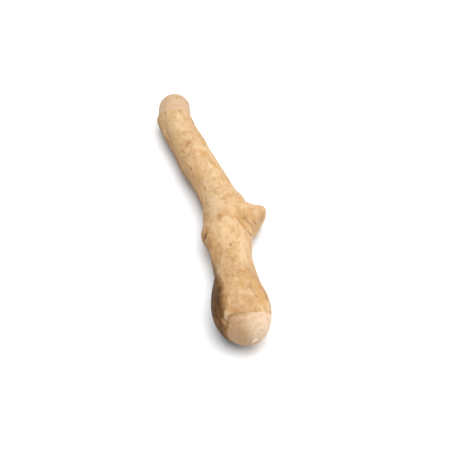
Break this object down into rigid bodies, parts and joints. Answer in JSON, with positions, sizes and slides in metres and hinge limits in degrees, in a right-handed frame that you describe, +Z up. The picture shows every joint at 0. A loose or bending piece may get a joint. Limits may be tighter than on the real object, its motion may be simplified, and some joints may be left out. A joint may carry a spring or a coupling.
{
  "type": "wooden chew stick",
  "caption": "Length of peeled, knobbly hardwood branch with rounded, sanded ends and a short sawn side stub, for a dog to chew.",
  "frame": {"origin": "middle of the stick's outline on the table, at the level of the table", "axes": "+Y along the stick to the slimmer end, +X to the side with the branch stub, +Z up"},
  "size_m": [0.0606, 0.2564, 0.0377],
  "materials": {
    "bare_wood": "unsealed peeled hardwood: warm peach tan, mottled with cream and honey patches and fine brown specks, with paler pinkish sanded ends and brown stains round the knots"
  },
  "bodies": {
    "root": {"stick": "bare_wood"}
  },
  "joints": []
}
